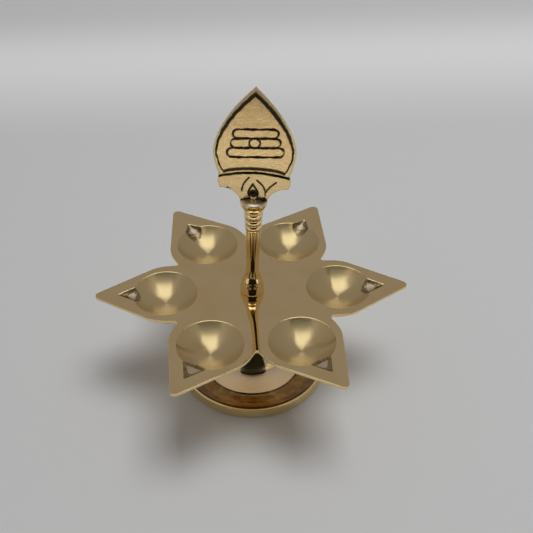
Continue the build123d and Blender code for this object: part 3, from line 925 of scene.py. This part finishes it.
def round_lump(name, centre, radii, material, seed, roughness):
    """A closed lump: a ball whose surface wanders by the given share."""
    bm = bmesh.new()
    bmesh.ops.create_icosphere(bm, subdivisions=4, radius=1.0)
    ball = np.array([v.co for v in bm.verts])
    faces = [tuple(v.index for v in f.verts) for f in bm.faces]
    bm.free()
    x, z = ball[:, 0], ball[:, 2]
    waves = np.sin(3.1 * x + seed) * np.cos(2.7 * z + 2 * seed) + np.sin(5.3 * z + 4.1 * x)
    swell = 1.0 + roughness * waves
    points = ball * swell[:, None] * np.array(radii) + np.array(centre)
    return new_piece(name, points, faces, material)


def build_drop_ball(material):
    """The ball at the foot of the drop ornament."""
    centre = (-0.1, -BLADE_HALF_THICKNESS - 0.15, COLLAR_TOP + 1.15)
    ball = round_lump("drop_ball", centre, (1.25, 1.1, 1.3), material, 0.0, 0.0)
    store(ball, "patina", np.clip(0.2 + 0.5 * (points_of(ball)[:, 2] - centre[2]), 0.0, 0.45))
    set_askew(ball)
    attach(ball, "spindle")


def build_solder():
    """A rough lump of solder on the right of the joint between blade and collar."""
    centre = (3.6, -BLADE_HALF_THICKNESS - 0.1, COLLAR_TOP + 0.05)
    lump = round_lump("solder_lump", centre, (1.0, 0.5, 0.75), solder(), 1.7, 0.13)
    set_askew(lump)
    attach(lump, "spindle")


# ---- fasteners ----------------------------------------------------------------------------------
def build_rod(material):
    """M4 tie rod with a real helical thread over its whole length."""
    pitch, depth = 0.7, 0.36
    steps_per_turn = 36
    rings = np.arange(ROD_END, ROD_TOP + 1e-6, pitch / 12)
    turn = np.linspace(0.0, math.tau, steps_per_turn, endpoint=False)
    z = np.repeat(rings[:, None], steps_per_turn, 1)
    phase = (z / pitch - turn[None, :] / math.tau) % 1.0
    tooth = np.clip(1.25 - 2.5 * np.abs(phase - 0.5), 0.0, 1.0)
    end = np.minimum(rings - rings[0], rings[-1] - rings)[:, None]
    radius = np.minimum(ROD_RADIUS - depth * (1 - tooth), ROD_RADIUS - 0.4 + end)
    points = np.stack([radius * np.cos(turn), radius * np.sin(turn), z], 2).reshape(-1, 3)
    faces = capped_faces(len(rings), steps_per_turn)
    rod = new_piece("rod_threaded", points, faces, material)
    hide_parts("tie_rod")
    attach(rod, "spindle")


def dress_fasteners(nodes):
    """Steel for the washer and the nut, which keep their CAD shapes, and the threaded rod."""
    steel = fastener_steel()
    for name in ("clamp_washer", "clamp_nut"):
        nodes[name].data.materials.clear()
        nodes[name].data.materials.append(steel)
    build_rod(steel)


# ---- stage --------------------------------------------------------------------------------------
PANEL_HEIGHT = 1.4
LIGHT_RADIANCE = 5.1        # what lights the table
MIRRORED_RADIANCE = 1.65    # the same light as the polished brass shows it
ROOM_GREY = (0.285, 0.262, 0.262, 1.0)


def build_floor():
    """Plain pale table top with a painted band of light far behind the lamp, and a warm painted glow in
    front that only the brass's reflections show.
    """
    material, nodes, surface, place = new_material("floor_paper")
    y = nodes.add("ShaderNodeSeparateXYZ", {0: place}).outputs[1]
    # painted light: an emissive bright band on the table far behind the lamp
    rise = nodes.ramp(y, 0.17, 0.27)
    fall = nodes.ramp(y, 0.27, 0.345, 1.0, 0.0)
    painted_light_band = nodes.math("MULTIPLY", rise, fall)
    # painted reflection: a warm emissive glow in front, seen only in glossy reflections
    mirrored = nodes.add("ShaderNodeLightPath").outputs["Is Glossy Ray"]
    near = nodes.math("MULTIPLY", mirrored, nodes.ramp(y, -0.170, -0.115, 1.0, 0.0))
    mottle = nodes.noise(place, 30.0, 3.0)
    shade = nodes.ramp(mottle, 0.3, 0.7, 0.985, 1.0)
    colour = nodes.mix(shade, (0.755, 0.783, 0.793, 1.0), (0.785, 0.813, 0.823, 1.0))
    glow_colour = nodes.mix(near, (1.0, 1.0, 1.0, 1.0), (1.0, 0.76, 0.52, 1.0))
    glow = nodes.math("ADD", nodes.math("MULTIPLY", painted_light_band, 0.13), nodes.math("MULTIPLY", near, 0.75))
    paper = nodes.add(
        "ShaderNodeBsdfPrincipled",
        {
            "Base Color": colour,
            "Roughness": 0.75,
            "Specular IOR Level": 0.2,
            "Emission Color": glow_colour,
            "Emission Strength": glow,
        },
    )
    nodes.feed(surface, paper.outputs[0])
    half, front = 1800.0, -200.0
    points = [(-half, front, 0.0), (half, front, 0.0), (half, half, 0.0), (-half, half, 0.0)]
    floor = new_piece("floor", points, [(0, 1, 2, 3)], material)


def glowing(name, colour, strength):
    """Material that only gives out light."""
    material, nodes, surface, _ = new_material(name)
    glow = nodes.add("ShaderNodeEmission", {"Color": colour, "Strength": strength})
    nodes.feed(surface, glow.outputs[0])
    return material


def build_panel(name, strength, sides, lift):
    """One wide soft light overhead; its sides are given as shares of its height."""
    material = glowing(name, (1.0, 0.99, 0.98, 1.0), strength)
    high = PANEL_HEIGHT / MM + lift
    left, right, front, back = (side * high for side in sides)
    points = [(left, front, high), (right, front, high), (right, back, high), (left, back, high)]
    panel = new_piece(name, points, [(3, 2, 1, 0)], material)
    return panel


def build_painted_reflection_ring():
    """Pale glowing ring under the tray, seen only as the brass mirrors it: a painted reflection that makes
    the bell pale.
    """
    material = glowing("painted_reflection_ring", (1.0, 0.85, 0.62, 1.0), 0.42)
    turn = np.linspace(0.0, math.tau, 96, endpoint=False)
    rings = [np.stack([r * np.cos(turn), r * np.sin(turn), 0 * turn + 32.0], 1) for r in (12.0, 33.0)]
    card = new_piece("painted_reflection_ring", np.concatenate(rings), ring_faces(2, 96), material)
    # hidden from camera, table light and shadows: the ring is only a painted reflection
    card.visible_camera = False
    card.visible_diffuse = False
    card.visible_shadow = False


def build_lights():
    """The light that falls on the table, and the window the polished brass mirrors."""
    light = build_panel("light_panel", LIGHT_RADIANCE, (-0.07, 0.47, -0.21, 0.30), 0.0)
    light.visible_glossy = False
    window = build_panel("mirrored_panel", MIRRORED_RADIANCE, (-0.30, 0.30, -0.176, 0.55), 20.0)
    window.visible_diffuse = False
    window.visible_shadow = False
    build_painted_reflection_ring()


def build_room():
    """Grey room with the dark shape of the photographer in front of the lamp."""
    world = bpy.data.worlds.new("room")
    bpy.context.scene.world = world
    world.use_nodes = True
    world.node_tree.nodes.clear()
    nodes = Nodes(world.node_tree)
    direction = nodes.add("ShaderNodeTexCoord").outputs["Generated"]
    x, y, z = nodes.add("ShaderNodeSeparateXYZ", {0: direction}).outputs
    climb = nodes.math("ARCTAN2", z, nodes.math("MULTIPLY", y, -1.0))
    climb = nodes.math("MULTIPLY", climb, 180.0 / math.pi)
    width = nodes.ramp(climb, 2.0, 45.0, 0.68, 0.46)
    sideways = nodes.math("SUBTRACT", nodes.math("ABSOLUTE", x), width)
    within = nodes.ramp(sideways, -0.02, 0.02, 1.0, 0.0)
    below_panel = nodes.ramp(climb, 70.0, 80.0, 1.0, 0.0)
    in_front = nodes.ramp(y, -0.15, -0.10, 1.0, 0.0)
    mass = nodes.math("MULTIPLY", nodes.math("MULTIPLY", within, below_panel), in_front)
    dark = nodes.mix(nodes.ramp(climb, 50.0, 78.0), (0.010, 0.009, 0.007, 1.0), (0.10, 0.09, 0.055, 1.0))
    room = nodes.mix(nodes.ramp(z, -0.05, 0.02), (0.46, 0.46, 0.46, 1.0), ROOM_GREY)
    colour = nodes.mix(mass, room, dark)
    background = nodes.add("ShaderNodeBackground", {"Color": colour, "Strength": 1.0})
    output = nodes.add("ShaderNodeOutputWorld")
    nodes.feed(output.inputs["Surface"], background.outputs[0])


def build_camera():
    """Camera at the photograph's angle: above the lamp and a little to its left."""
    data = bpy.data.cameras.new("camera")
    data.sensor_width = 36.0
    data.lens = 59.72
    data.shift_x = 0.0272
    data.shift_y = 0.0433
    camera = bpy.data.objects.new("camera", data)
    bpy.context.scene.collection.objects.link(camera)
    target = Vector((0.0, 0.0, TRAY_TOP * MM))
    azimuth, elevation, distance = math.radians(-2.92), math.radians(41.7), 0.33784
    level = math.cos(elevation)
    back = Vector((math.sin(azimuth) * level, -math.cos(azimuth) * level, math.sin(elevation)))
    camera.location = target + back * distance
    turn = (-back).to_track_quat("-Z", "Y").to_matrix().to_4x4()
    roll = Matrix.Rotation(math.radians(-0.22), 4, "Z")
    camera.rotation_euler = (turn @ roll).to_euler()
    data.clip_start = 0.01
    bpy.context.scene.camera = camera


# ---- scene --------------------------------------------------------------------------------------
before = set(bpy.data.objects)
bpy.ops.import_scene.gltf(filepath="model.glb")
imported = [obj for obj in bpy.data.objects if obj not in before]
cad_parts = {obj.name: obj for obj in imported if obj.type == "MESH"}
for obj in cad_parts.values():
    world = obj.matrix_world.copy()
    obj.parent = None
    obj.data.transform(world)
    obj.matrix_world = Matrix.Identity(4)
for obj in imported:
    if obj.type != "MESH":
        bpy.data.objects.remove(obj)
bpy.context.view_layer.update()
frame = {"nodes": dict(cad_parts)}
build_pedestal()
build_tray()
build_stem()
build_blade()
dress_fasteners(frame["nodes"])
build_floor()
build_lights()
build_room()
build_camera()
bpy.context.scene.view_settings.view_transform = "Standard"
